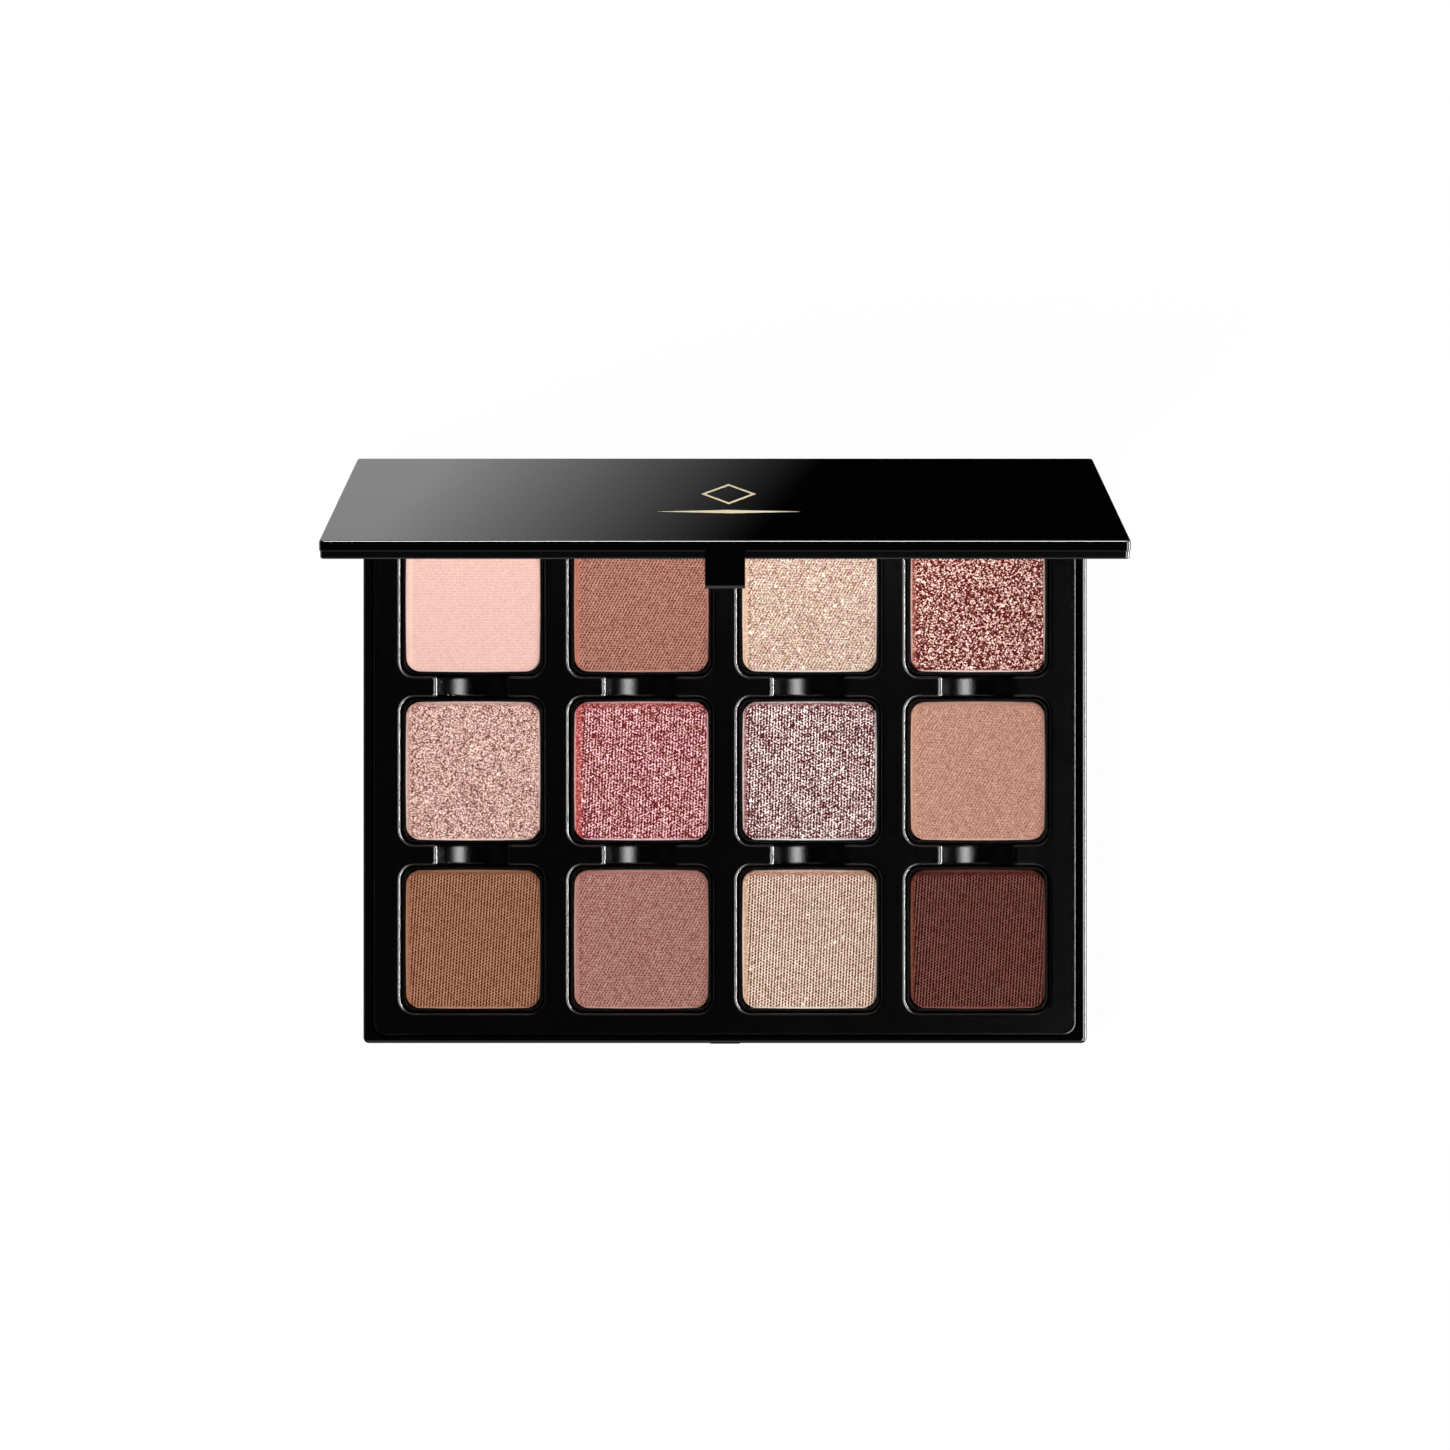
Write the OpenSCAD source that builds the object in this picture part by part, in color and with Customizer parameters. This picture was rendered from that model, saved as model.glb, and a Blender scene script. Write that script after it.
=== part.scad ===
// Eyeshadow palette: a slim hinged case with a mirror lid, and twelve lift-out
// pans of pressed powder in a moulded tray.
// +Z is up, +Y runs back towards the hinge, and the origin is the middle of the
// case's underside.  The lid stands open at lid_angle.

/* [Pans] */
// Outer width of a tin pan
tin_w = 20.3; // [18:0.1:26]
// Outer depth of a tin pan, front to back
tin_d = 20.8; // [18:0.1:26]
// Height of a tin pan
tin_h = 3.2; // [2.4:0.1:5]
// Sheet thickness of a tin pan
tin_wall = 0.3; // [0.2:0.05:0.5]
// Corner radius of a tin pan, seen from above
tin_corner_r = 1.9; // [1.6:0.1:4]
// Radius pressed round the foot of a tin pan
tin_foot_r = 0.4; // [0.2:0.1:0.8]
// Height of the powder above the rim of its tin
powder_crown = 0.35; // [0.1:0.05:0.5]
// Rounding of the powder's upper edge
powder_edge_r = 0.9; // [0.4:0.1:1.2]

/* [Tray] */
// Free play round a tin in its well
well_gap = 0.25; // [0.2:0.05:0.8]
// Rounded lip at the mouth of each well
well_lip = 0.5; // [0.3:0.1:1]
// Flat top of the bars between the columns of wells
bar_w = 2.6; // [1:0.1:4]
// Flat top of the bars between the rows of wells
bar_d = 2.1; // [1:0.1:4]
// Flat and rounded border at the tray's left and right
side_border = 3.6; // [1.8:0.05:6]
// Flat and rounded border at the tray's front and back
end_border = 2.9; // [1.8:0.05:6]
// Rounding of the tray's upper outer edge
tray_edge_r = 0.5; // [0.4:0.1:1.4]
// Corner radius of the tray, seen from above
tray_corner_r = 2; // [1.5:0.1:4]
// Thickness of the floor under each tin
well_floor = 0.8; // [0.6:0.1:1.5]
// How far a tin's rim lies below the top of the tray
tin_sink = 0.6; // [0.5:0.1:1.5]
// Width of the finger scoops across the bars between rows
scoop_w = 11.5; // [8:0.1:14]
// Depth of the finger scoops
scoop_depth = 3.3; // [1.5:0.1:3.3]
// Round shoulder along each side of a scoop, wider than the wells' lip
scoop_lip = 0.8; // [0.4:0.1:1.2]

/* [Case] */
// Thickness of the case floor
floor_t = 1.2; // [0.9:0.1:2]
// Thickness of the left and right walls
side_wall = 1.2; // [1:0.05:3]
// Thickness of the front wall
front_wall = 0.9; // [0.8:0.05:2]
// Depth of the block behind the tray that carries the hinge
back_wall = 4; // [3.9:0.1:7]
// Height of the case rim above the top of the tray
tray_drop = 0.4; // [0.2:0.1:1]
// Clearance round the tray in the case
tray_gap = 0.1; // [0.05:0.05:0.3]
// Outer corner radius of the case, seen from above
case_corner_r = 0.8; // [0.6:0.1:3]
// Rounding of the case's lower edge
case_foot_r = 0.6; // [0.2:0.1:0.6]
// Rounding of the case's rim
case_rim_r = 0.6; // [0.1:0.05:0.6]

/* [Magnets] */
// Diameter of the disc magnet under each well
magnet_d = 8; // [5:0.5:14]
// Thickness of the disc magnets
magnet_h = 1.4; // [1:0.1:3]
// Height of the ring that locates each magnet on the case floor
magnet_ring_h = 0.8; // [0.4:0.1:0.9]

/* [Lid] */
// How far the lid stands out past the case at each side
lid_over_side = 1; // [0:0.1:2]
// Thickness of the outer lid shell
lid_shell_t = 1.45; // [1.2:0.05:2.5]
// Corner radius of the lid, seen from above
lid_corner_r = 0.6; // [0.5:0.1:3]
// Rounding of the lid's outer edge
lid_edge_r = 0.3; // [0.1:0.05:0.5]
// Rounding of the lid shell's lower edge, along the joint with the mirror frame
lid_seam_r = 0.15; // [0.05:0.05:0.3]
// Gap between the closed lid and the case rim
lid_gap = 0.1; // [0.05:0.05:0.3]
// Opening angle at which the lid stands
lid_angle = 80; // [0:1:120]
// Opening angle at which the lid meets its stop
lid_stop_angle = 120; // [100:5:130]

/* [Mirror] */
// Thickness of the frame round the mirror
frame_t = 1.05; // [0.8:0.05:2]
// Width of the frame's bars
frame_bar = 4.2; // [3:0.1:8]
// How far the frame is set in from the edge of the lid shell
frame_inset = 0.12; // [0.05:0.01:0.3]
// Thickness of the mirror glass
mirror_t = 0.9; // [0.6:0.05:1.5]
// Thickness of the adhesive sheet behind the mirror
tape_t = 0.1; // [0.05:0.05:0.3]
// Clearance round the mirror in its frame
mirror_gap = 0.15; // [0.05:0.05:0.4]
// Corner radius of the mirror
mirror_corner_r = 1; // [0.6:0.1:3]

/* [Latch] */
// Width of the thumb tab on the lid's front edge
tab_w = 5.3; // [4:0.1:14]
// Thickness of the thumb tab
tab_t = 0.9; // [0.7:0.05:1]
// How far the thumb tab hangs below the lid's inner face
tab_drop = 4; // [2.5:0.1:4.5]
// How far the catch stands out from the front wall
catch_out = 0.2; // [0.1:0.05:0.25]
// How far the hook stands in from the thumb tab
hook_out = 0.15; // [0.05:0.01:0.2]
// Clearance between the hook and the catch as they pass
latch_gap = 0.3; // [0.3:0.05:0.8]

/* [Hinge] */
// Distance from the hinge axis to the case's back and to its rim
hinge_r = 1.8; // [1.6:0.1:2.2]
// Radius of the round lugs on the lid
lug_r = 1.6; // [1.3:0.1:1.6]
// Width of each lug
lug_w = 9; // [5:0.5:14]
// Distance from the middle of the case to the middle of each lug
lug_x = 36; // [24:1:40]
// Side clearance of each lug in its slot
lug_gap = 0.15; // [0.1:0.05:0.4]
// Radius of the steel hinge pins
pin_r = 0.6; // [0.4:0.05:0.8]
// Radial clearance of a pin in the lug that turns on it
pin_gap = 0.04; // [0.02:0.01:0.08]
// Radial clearance of a pin where it is held in the case
pin_seat_gap = 0.01; // [0.01:0.01:0.02]
// How deep a pin's outer end sits below the case's side
pin_sunk = 0.3; // [0.1:0.1:1]
// How far a pin reaches past its lug on the inner side
pin_reach = 5; // [2:0.5:8]

/* [Hidden] */
$fn = 48;
COLUMNS = 4;
ROWS = ["a", "b", "c"];
OVER = 0.5; // how far a cutter runs past the face that it opens
SINK = 0.2; // how far a moulded feature runs into the wall that carries it

// Colour of each shade, row a at the back, column 1 at the left
SHADES = [
    ["#f3c6b8", "#a06e60", "#d9b898", "#a8605a"],
    ["#c19a8c", "#bd6a68", "#b08c90", "#c68f7a"],
    ["#87593c", "#9d6d66", "#d8b08e", "#502822"]
];

// Pans and wells
powder_w = tin_w - 2 * tin_wall;
powder_d = tin_d - 2 * tin_wall;
powder_h = tin_h - tin_wall + powder_crown;
powder_corner_r = tin_corner_r - tin_wall;
well_w = tin_w + 2 * well_gap;
well_d = tin_d + 2 * well_gap;
well_corner_r = tin_corner_r + well_gap;
well_depth = tin_h + tin_sink;
column_pitch = well_w + 2 * well_lip + bar_w;
row_pitch = well_d + 2 * well_lip + bar_d;

// Tray
tray_w = (COLUMNS - 1) * column_pitch + well_w + 2 * (well_lip + side_border);
tray_d = (len(ROWS) - 1) * row_pitch + well_d + 2 * (well_lip + end_border);
tray_h = magnet_h + well_floor + well_depth;
tray_top = floor_t + tray_h;
tin_z = tray_top - well_depth;

// Case
pocket_w = tray_w + 2 * tray_gap;
pocket_d = tray_d + 2 * tray_gap;
case_w = pocket_w + 2 * side_wall;
case_d = front_wall + pocket_d + back_wall;
case_h = tray_top + tray_drop;
case_front_y = -case_d / 2;
case_back_y = case_d / 2;
tray_y = case_front_y + front_wall + pocket_d / 2;

// Hinge: the lid rolls round the case's rounded back edge
hinge_y = case_back_y - hinge_r;
hinge_z = case_h - hinge_r;
slot_w = lug_w + 2 * lug_gap;
slot_front = lug_r + lug_gap;
pin_outer_x = case_w / 2 - pin_sunk;
pin_inner_x = lug_x - slot_w / 2 - pin_reach;

// Lid, measured from the hinge axis while shut
lid_w = case_w + 2 * lid_over_side;
lid_over_front = tab_t + hook_out + catch_out + latch_gap;
lid_l = case_d + lid_over_front;
lid_inner_z = hinge_r + lid_gap;
lid_seam_z = lid_inner_z + frame_t;
lid_outer_z = lid_seam_z + lid_shell_t;
lid_front_y = hinge_r - lid_l;
lid_mid_y = hinge_r - lid_l / 2;
frame_w = lid_w - 2 * frame_inset;
frame_l = lid_l - 2 * frame_inset;
mirror_hole_w = frame_w - 2 * frame_bar;
mirror_hole_l = frame_l - 2 * frame_bar;
mirror_w = mirror_hole_w - 2 * mirror_gap;
mirror_l = mirror_hole_l - 2 * mirror_gap;

// Lowest corner of a lug when the lid is at its stop
lug_swing = lug_r * sin(lid_stop_angle) - lid_seam_z * cos(lid_stop_angle);
slot_depth = lug_swing + lug_gap;

// Latch: the hook ends just under the catch when the lid is shut
tab_end_z = lid_inner_z - tab_drop;
tab_inner_y = lid_front_y + tab_t;
catch_r = 0.4;
hook_r = 0.3;
tab_foot_r = 0.8 * tab_t;
hook_z = tab_end_z + 2 * hook_r;
catch_z = hinge_z + hook_z + hook_r + catch_r + 0.1;
catch_w = tab_w - 1;

function column_x(col) = (col - (COLUMNS - 1) / 2) * column_pitch;
function row_y(row) = tray_y + ((len(ROWS) - 1) / 2 - row) * row_pitch;

// ---------------------------------------------------------------- helpers

// Rectangle with round corners, centred
module rounded_rect(w, d, r) {
    square([w - 2 * r, d], center = true);
    square([w, d - 2 * r], center = true);
    for (x = [-1, 1], y = [-1, 1])
        translate([x * (w / 2 - r), y * (d / 2 - r)]) circle(r);
}

// What is cut off a square corner at [0, 0] to round it
module corner_waste(r) {
    difference() {
        translate([-r, -r]) square(2 * r);
        translate([-r, -r]) circle(r);
    }
}

// Right half of a block's section, rounded at its top and foot
module block_section(half, h, top_r, foot_r) {
    difference() {
        square([half, h]);
        if (top_r > 0) translate([half, h]) corner_waste(top_r);
        if (foot_r > 0) translate([half, 0]) mirror([0, 1]) corner_waste(foot_r);
    }
}

// Right half of a pocket's section, measured down from its mouth, with a
// rounded lip left on the material round it
module pocket_section(half, depth, lip) {
    translate([0, -depth]) square([half, depth + OVER]);
    difference() {
        translate([0, -lip]) square([half + lip, lip + OVER]);
        translate([half + lip, -lip]) circle(lip);
    }
}

// Sweeps a half section round a rectangle with round corners: children(0) is
// the section at a corner, children(1) across the depth and children(2) across
// the width
module sweep_round(w, d, r) {
    for (x = [-1, 1], y = [-1, 1])
        translate([x * (w / 2 - r), y * (d / 2 - r), 0])
            rotate_extrude() children(0);
    rotate([90, 0, 90]) linear_extrude(w - 2 * r, center = true) {
        children(1);
        mirror([1, 0]) children(1);
    }
    rotate([90, 0, 0]) linear_extrude(d - 2 * r, center = true) {
        children(2);
        mirror([1, 0]) children(2);
    }
}

// Block that stands on z = 0, with rounded upright, top and foot edges
module rounded_block(w, d, h, r, top_r = 0, foot_r = 0) {
    sweep_round(w, d, r) {
        block_section(r, h, top_r, foot_r);
        block_section(d / 2, h, top_r, foot_r);
        block_section(w / 2, h, top_r, foot_r);
    }
}

// Cutter for a pocket whose mouth is at z = 0 and has a rounded lip
module lipped_pocket(w, d, depth, r, lip) {
    sweep_round(w, d, r) {
        pocket_section(r, depth, lip);
        pocket_section(d / 2, depth, lip);
        pocket_section(w / 2, depth, lip);
    }
}

// Puts a copy of the children at every well, on the tray's middle plane
module at_wells() {
    for (row = [0:len(ROWS) - 1], col = [0:COLUMNS - 1])
        translate([column_x(col), row_y(row), 0]) children();
}

// Puts children made round the hinge axis, as when shut, on the open lid
module on_lid() {
    translate([0, hinge_y, hinge_z]) rotate([-lid_angle, 0, 0]) children();
}

// ---------------------------------------------------------------- case

// Glossy lower case: walls, floor, hinge block and catch
module case() color("#0d0d0f") {
    difference() {
        union() {
            rounded_block(case_w, case_d, case_h, case_corner_r, case_rim_r, case_foot_r);
            latch_catch();
        }
        translate([0, tray_y, floor_t])
            linear_extrude(case_h) rounded_rect(pocket_w, pocket_d, tray_corner_r + tray_gap);
        hinge_edge_waste();
        for (side = [-1, 1]) {
            lug_slot(side);
            pin_bore(side);
        }
    }
    at_wells() magnet_ring();
}

// Small ridge on the front wall that the thumb tab's hook passes
module latch_catch() {
    translate([0, case_front_y + catch_r - catch_out, catch_z]) rotate([0, 90, 0])
        cylinder(h = catch_w, r = catch_r, center = true);
}

// Leaves the case's upper back edge round about the hinge axis
module hinge_edge_waste() {
    translate([0, hinge_y, hinge_z]) rotate([90, 0, 90])
        linear_extrude(case_w + 2 * OVER, center = true)
            difference() {
                square(hinge_r + OVER);
                circle(hinge_r);
            }
}

// Slot in the hinge block that a lug swings in
module lug_slot(side) {
    translate([side * lug_x - slot_w / 2, hinge_y - slot_front, hinge_z - slot_depth])
        cube([slot_w, slot_front + hinge_r + OVER, slot_depth + hinge_r + OVER]);
}

// Blind bore that holds a hinge pin, open at the case's side
module pin_bore(side) {
    translate([0, hinge_y, hinge_z]) rotate([0, side * 90, 0])
        translate([0, 0, pin_inner_x])
            cylinder(h = case_w / 2 - pin_inner_x + OVER, r = pin_r + pin_seat_gap);
}

// Low ring that keeps a magnet in place
module magnet_ring() {
    ring_gap = 0.1;
    ring_wall = 0.7;
    translate([0, 0, floor_t]) difference() {
        cylinder(h = magnet_ring_h, d = magnet_d + 2 * (ring_gap + ring_wall));
        translate([0, 0, -OVER])
            cylinder(h = magnet_ring_h + 2 * OVER, d = magnet_d + 2 * ring_gap);
    }
}

// Disc magnets between the case floor and the wells
module pan_magnets() color("#8d8f94") {
    at_wells() translate([0, 0, floor_t]) cylinder(h = magnet_h, d = magnet_d);
}

// ---------------------------------------------------------------- tray

// Satin tray with twelve wells and a finger scoop in every bar between rows
module tray() color("#17171a") {
    difference() {
        translate([0, tray_y, floor_t])
            rounded_block(tray_w, tray_d, tray_h, tray_corner_r, tray_edge_r);
        at_wells() translate([0, 0, tray_top])
            lipped_pocket(well_w, well_d, well_depth, well_corner_r, well_lip);
        at_wells() translate([0, 0, floor_t - OVER])
            linear_extrude(magnet_h + OVER) rounded_rect(well_w, well_d, well_corner_r);
        for (row = [0:len(ROWS) - 2], col = [0:COLUMNS - 1])
            translate([column_x(col), row_y(row) - row_pitch / 2, tray_top]) finger_scoop();
    }
}

// Cutter for one finger scoop, with its mouth at z = 0.  Across the scoop, a
// hollow arc runs into a round shoulder where both have the same slope.  Towards
// the wells, the hollow widens and the shoulders shrink by the wells' own lip,
// so the lip follows the scoop down and up again.
module finger_scoop() {
    half = scoop_w / 2;
    reach = (half * half + scoop_depth * scoop_depth) / (2 * scoop_depth);
    hollow_r = reach - scoop_lip;
    hollow_z = hollow_r - scoop_depth;
    bar_half = (row_pitch - well_d) / 2;
    mouth_z = max(hollow_z, OVER);
    translate([0, 0, hollow_z]) scoop_hollow(hollow_r, bar_half);
    for (side = [0, 1]) mirror([side, 0, 0]) difference() {
        rotate([90, 0, 0]) linear_extrude(2 * (bar_half + OVER), center = true)
            polygon([[0, hollow_z], [0, mouth_z], [half, mouth_z], [half, -scoop_lip]]);
        translate([half, 0, -scoop_lip]) scoop_shoulder(scoop_lip, bar_half);
    }
}

// Turned about the Y axis: a drum whose two rims flare out by the wells' lip
module scoop_hollow(r, bar_half) {
    for (end = [0, 1]) mirror([0, end, 0])
        rotate([-90, 0, 0]) translate([0, 0, bar_half])
            rotate_extrude($fn = 96) pocket_section(r, bar_half, well_lip);
}

// Turned about the Y axis: a bar whose two ends are rounded by the wells' lip
module scoop_shoulder(r, bar_half) {
    rotate([90, 0, 0]) translate([0, 0, -bar_half])
        rotate_extrude() block_section(r, 2 * bar_half, well_lip, well_lip);
}

// ---------------------------------------------------------------- pans

// Pressed tin pan, open at the top
module tin() {
    difference() {
        rounded_block(tin_w, tin_d, tin_h, tin_corner_r, 0, tin_foot_r);
        translate([0, 0, tin_wall])
            linear_extrude(tin_h) rounded_rect(powder_w, powder_d, powder_corner_r);
    }
}

// Cake of pressed powder with a soft upper edge
module powder() {
    rounded_block(powder_w, powder_d, powder_h, powder_corner_r, powder_edge_r);
}

module tin_at(row, col) color("#b9bbbf")
    translate([column_x(col), row_y(row), tin_z]) tin();

module powder_at(row, col) color(SHADES[row][col])
    translate([column_x(col), row_y(row), tin_z + tin_wall]) powder();

// ---------------------------------------------------------------- hinge

module hinge_pin(side) color("#c4c6ca")
    translate([side * (pin_inner_x + pin_outer_x) / 2, hinge_y, hinge_z]) rotate([0, 90, 0])
        cylinder(h = pin_outer_x - pin_inner_x, r = pin_r, center = true);

// What is cut off the lid's inner back edge so that it lies flat on the case's
// back when the lid is at its stop
module stop_waste() {
    rotate([lid_stop_angle, 0, 0])
        translate([-lid_w, -lid_l + hinge_r + lid_gap / 2, -2 * lid_l])
            cube([2 * lid_w, lid_l, 2 * lid_l]);
}

// ---------------------------------------------------------------- lid

// Glossy outer shell of the lid with its thumb tab and hinge lugs
module lid_shell() color("#0b0b0d") on_lid() {
    difference() {
        translate([0, lid_mid_y, lid_seam_z])
            rounded_block(lid_w, lid_l, lid_shell_t, lid_corner_r, lid_edge_r, lid_seam_r);
        stop_waste();
    }
    thumb_tab();
    for (side = [-1, 1]) translate([side * lug_x, 0, 0]) hinge_lug();
}

// Thumb tab with a rounded foot and a hook on its inner side
module thumb_tab() {
    rotate([90, 0, 90]) linear_extrude(tab_w, center = true)
        difference() {
            translate([lid_front_y, tab_end_z])
                square([tab_t, lid_seam_z + lid_shell_t / 2 - tab_end_z]);
            translate([lid_front_y, tab_end_z]) rotate(180) corner_waste(tab_foot_r);
        }
    translate([0, tab_inner_y + hook_out - hook_r, hook_z]) rotate([0, 90, 0])
        cylinder(h = catch_w, r = hook_r, center = true);
}

// Round lug that turns on a pin, with a web up to the shell
module hinge_lug() {
    difference() {
        rotate([90, 0, 90]) linear_extrude(lug_w, center = true) {
            circle(lug_r);
            translate([-lug_r, 0]) square([2 * lug_r, lid_seam_z + SINK]);
        }
        rotate([0, 90, 0]) cylinder(h = lug_w + 2 * OVER, r = pin_r + pin_gap, center = true);
    }
}

// Frame that holds the mirror, open for the thumb tab and the lugs
module mirror_frame() color("#101012") on_lid() {
    fit = 0.05;
    difference() {
        translate([0, lid_mid_y, lid_inner_z])
            rounded_block(frame_w, frame_l, frame_t, lid_corner_r, 0, lid_edge_r);
        translate([0, lid_mid_y, lid_inner_z - OVER])
            linear_extrude(frame_t + 2 * OVER)
                rounded_rect(mirror_hole_w, mirror_hole_l, mirror_corner_r + mirror_gap);
        translate([-tab_w / 2 - fit, lid_front_y - OVER, lid_inner_z - OVER])
            cube([tab_w + 2 * fit, OVER + tab_t + fit, frame_t + 2 * OVER]);
        for (side = [-1, 1])
            translate([side * lug_x - lug_w / 2 - fit, -lug_r - fit, lid_inner_z - OVER])
                cube([lug_w + 2 * fit, lug_r + 2 * hinge_r, frame_t + 2 * OVER]);
        stop_waste();
    }
}

module mirror_sheet(z, t) {
    translate([0, lid_mid_y, z]) linear_extrude(t)
        rounded_rect(mirror_w, mirror_l, mirror_corner_r);
}

module mirror_tape() color("#2a2a2c") on_lid() mirror_sheet(lid_seam_z - tape_t, tape_t);

module mirror_glass() color("#d9e0e4") on_lid()
    mirror_sheet(lid_seam_z - tape_t - mirror_t, mirror_t);

// ---------------------------------------------------------------- nodes

case();
tray();
pan_magnets();
hinge_pin(-1);  // hinge_pin_left
hinge_pin(1);  // hinge_pin_right
lid_shell();
mirror_frame();
mirror_tape();
mirror_glass();
for (row = [0:len(ROWS) - 1], col = [0:COLUMNS - 1]) {
    tin_at(row, col);
    powder_at(row, col);
}
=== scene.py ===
# %% [markdown]
# # An eyeshadow palette
#
# A slim black case with a mirror lid holds twelve square tins of pressed powder. The solids come
# packed from CAD, in metres, with the origin in the middle of the case's underside, +Z up and +Y
# towards the hinge. This lesson dresses them: it gives every surface its finish, presses the
# powders with their cloth weave, and lights the whole as for a catalogue.
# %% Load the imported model
import math

import bpy
import bmesh
from mathutils import Matrix, Vector


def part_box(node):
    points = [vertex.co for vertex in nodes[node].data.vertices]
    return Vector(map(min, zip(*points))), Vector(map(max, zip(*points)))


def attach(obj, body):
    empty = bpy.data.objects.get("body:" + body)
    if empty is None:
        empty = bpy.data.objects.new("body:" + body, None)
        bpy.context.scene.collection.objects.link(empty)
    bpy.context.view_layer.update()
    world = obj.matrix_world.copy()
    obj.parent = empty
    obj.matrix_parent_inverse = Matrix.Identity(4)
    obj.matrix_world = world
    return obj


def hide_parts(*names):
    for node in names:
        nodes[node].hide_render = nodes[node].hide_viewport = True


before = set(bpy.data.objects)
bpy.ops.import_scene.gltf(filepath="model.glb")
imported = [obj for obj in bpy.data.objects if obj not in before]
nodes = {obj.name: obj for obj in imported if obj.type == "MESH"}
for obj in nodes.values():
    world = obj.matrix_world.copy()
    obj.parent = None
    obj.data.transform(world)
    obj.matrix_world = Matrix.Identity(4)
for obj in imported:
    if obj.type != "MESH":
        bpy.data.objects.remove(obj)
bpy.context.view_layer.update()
MM = 0.001

# %% [markdown]
# ## The camera
#
# The palette is looked at from straight above, through a long lens from nearly a metre away, so
# the wells stay square and only the raised lid spreads a little. From closer by, with a shorter
# lens, the lid would hide the back row. A lens in millimetres belongs to a sensor width: the
# focal length in pixels, times the sensor's width, over the frame's width in pixels, gives it.
# %% Camera
FRAME_PX, FOCAL_PX, SENSOR_MM = 1450, 5927, 36
CAMERA_AT = (0.0, 0.0051, 0.866)
NEAREST, FARTHEST = 0.01, 20

camera_data = bpy.data.cameras.new("camera")
camera_data.sensor_width = SENSOR_MM
camera_data.lens = SENSOR_MM * FOCAL_PX / FRAME_PX
camera_data.clip_start, camera_data.clip_end = NEAREST, FARTHEST
camera = bpy.data.objects.new("camera", camera_data)
camera.location = CAMERA_AT
bpy.context.collection.objects.link(camera)
bpy.context.scene.camera = camera
bpy.context.scene.view_settings.view_transform = "Standard"
print("lens", round(camera_data.lens, 1), "mm")

# %% [markdown]
# ## Shader maths as Python
#
# Node trees for materials and for geometry are easier to read as expressions. `Sock` wraps an
# output socket. Adding, subtracting or multiplying two of them adds a Math node, and `node` makes
# any other kind: its settings are set first, because they can change its sockets, then its inputs
# are filled with plain values or linked to other sockets.
# %% A socket that does arithmetic
def fill_ramp(ramp, stops):
    """Gives a colour ramp its stops: pairs of a place from 0 to 1 and a colour."""
    while len(ramp.elements) < len(stops):
        ramp.elements.new(0.5)
    for element, (place, colour) in zip(ramp.elements, stops):
        element.position, element.color = place, colour


class Sock:
    """An output socket. Arithmetic on it adds Math nodes to its tree."""
    def __init__(self, tree, out=None):
        self.tree, self.out = tree, out

    def node(self, kind, settings=None, inputs=None, out=0):
        """Adds a node, sets it up, and fills or links its sockets."""
        made = self.tree.nodes.new(kind)
        for key, value in (settings or {}).items():
            if key == "stops":
                fill_ramp(made.color_ramp, value)
            else:
                setattr(made, key, value)
        for key, value in (inputs or {}).items():
            if isinstance(value, Sock):
                self.tree.links.new(value.out, made.inputs[key])
            else:
                made.inputs[key].default_value = value
        return Sock(self.tree, made.outputs[out])

    def math(self, operation, *values, clamp=False):
        return self.node("ShaderNodeMath", {"operation": operation, "use_clamp": clamp},
                         dict(enumerate(values)))

    def __add__(self, other): return self.math("ADD", self, other)
    def __radd__(self, other): return self.math("ADD", other, self)
    def __sub__(self, other): return self.math("SUBTRACT", self, other)
    def __rsub__(self, other): return self.math("SUBTRACT", other, self)
    def __mul__(self, other): return self.math("MULTIPLY", self, other)
    def __rmul__(self, other): return self.math("MULTIPLY", other, self)
    def __truediv__(self, other): return self.math("DIVIDE", self, other)
    def __pow__(self, other): return self.math("POWER", self, other)
    def __lt__(self, other): return self.math("LESS_THAN", self, other)
    def __gt__(self, other): return self.math("GREATER_THAN", self, other)

    def clamped(self):
        return self.math("ADD", self, 0.0, clamp=True)

    def fade(self, low, high):
        """0 below low, 1 above high, smooth between."""
        return self.node("ShaderNodeMapRange", {"interpolation_type": "SMOOTHSTEP"},
                         {"Value": self, "From Min": low, "From Max": high}, "Result")

    def axis(self, name):
        return self.node("ShaderNodeSeparateXYZ", {}, {0: self}, name)


print("sockets can be added, multiplied and compared")


# %% Functions of sockets
def absolute(value):
    return value.math("ABSOLUTE", value)


def cosine(value):
    return value.math("COSINE", value)


def larger(a, b):
    return a.math("MAXIMUM", a, b)


def smaller(a, b):
    return a.math("MINIMUM", a, b)


print("socket functions ready")

# %% [markdown]
# ## Colours and patterns
#
# Colours are mixed by a Mix node, because a Math node turns a colour grey. Image textures could
# give the finishes, but they blur close up. Patterns stay sharp, so here noise makes smears and
# clouds, cells make grains, and cosines make the weave. Each pattern reads Object coordinates in
# millimetres, so its scale is the number of its cells in a millimetre, and it stays on a piece
# that moves.
# %% Colours
MIX_FIRST, MIX_SECOND, MIX_COLOUR = 6, 7, 2


def mix_colour(mask, first, second):
    """The first colour where the mask is 0, the second where it is 1."""
    return mask.node("ShaderNodeMix", {"data_type": "RGBA"},
                     {"Factor": mask, MIX_FIRST: first, MIX_SECOND: second}, MIX_COLOUR)


def rgb(*levels):
    """An sRGB colour of 0 to 255 as the linear values that a shader takes."""
    def linear(level):
        level /= 255
        return level / 12.92 if level <= 0.04045 else ((level + 0.055) / 1.055) ** 2.4
    return tuple(linear(level) for level in levels) + (1,)


def grey(tone):
    return (tone, tone, tone, 1)


def shaded(colour, gain):
    return tuple(min(gain * part, 1) for part in colour[:3]) + (1,)


print("middle grey is", round(rgb(128, 128, 128)[0], 3), "to a shader")


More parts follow.
